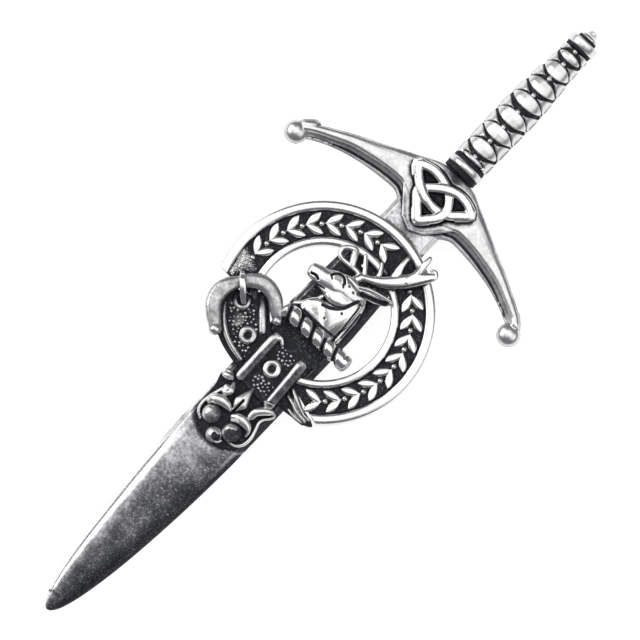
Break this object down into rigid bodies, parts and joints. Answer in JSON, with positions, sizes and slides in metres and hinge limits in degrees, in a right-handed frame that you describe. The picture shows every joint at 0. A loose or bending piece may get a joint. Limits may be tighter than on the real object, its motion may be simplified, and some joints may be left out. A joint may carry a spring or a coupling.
{
  "type": "kilt pin",
  "caption": "Sword-shaped kilt pin in antiqued cast metal with a strap-and-buckle badge, stag's head, knotted guard and brooch fastening at the back.",
  "frame": {"origin": "mid length, on the surface that the back fastening rests on", "axes": "+Y along the sword from the point to the pommel, +Z out of its face, X across it"},
  "size_m": [0.0398, 0.1, 0.0096],
  "materials": {
    "blade_metal": "satin cast pewter, darkened along the middle",
    "polished_metal": "polished cast pewter with blackened recesses",
    "antiqued_metal": "antiqued cast pewter with blackened recesses",
    "blackened_metal": "blackened cast pewter with bright edges",
    "pin_metal": "plain satin metal"
  },
  "bodies": {
    "root": {"blade": "blade_metal", "guard": "polished_metal", "knot": "polished_metal", "collar": "antiqued_metal", "grip": "antiqued_metal", "pommel": "antiqued_metal", "circlet": "polished_metal", "belt_tail": "blackened_metal", "belt_end": "antiqued_metal", "buckle": "polished_metal", "prong": "polished_metal", "chape": "antiqued_metal", "wreath": "polished_metal", "stag_head": "polished_metal", "brooch_pin": "pin_metal"}
  },
  "joints": []
}
